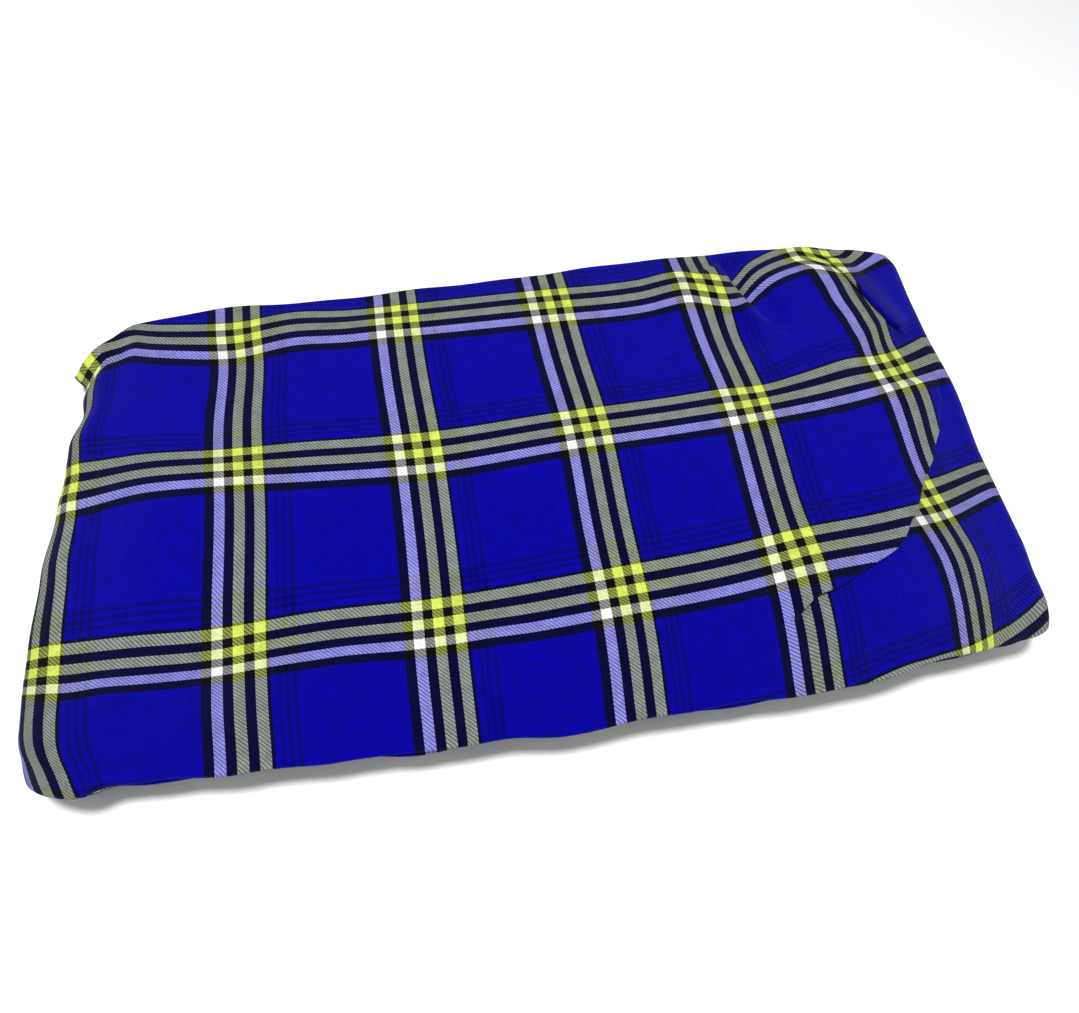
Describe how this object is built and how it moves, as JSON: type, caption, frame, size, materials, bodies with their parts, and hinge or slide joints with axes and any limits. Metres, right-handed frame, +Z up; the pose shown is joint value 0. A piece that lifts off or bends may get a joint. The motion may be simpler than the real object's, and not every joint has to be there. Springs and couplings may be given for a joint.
{
  "type": "folded maasai shuka cloth",
  "caption": "Checked blanket cloth worn as a wrap in East Africa, folded by hand into a flat oblong packet that lies on a surface.",
  "frame": {"origin": "middle of the underside, on the surface that the packet lies on", "axes": "+X along the packet towards its thinner rolled edge, +Y from the front edge to the back edge, +Z up"},
  "size_m": [0.5102, 0.282, 0.039],
  "materials": {
    "check_cloth": "soft matt acrylic twill, ultramarine blue with white, yellow and black check lines"
  },
  "bodies": {
    "root": {"folded_cloth": "check_cloth"}
  },
  "joints": []
}
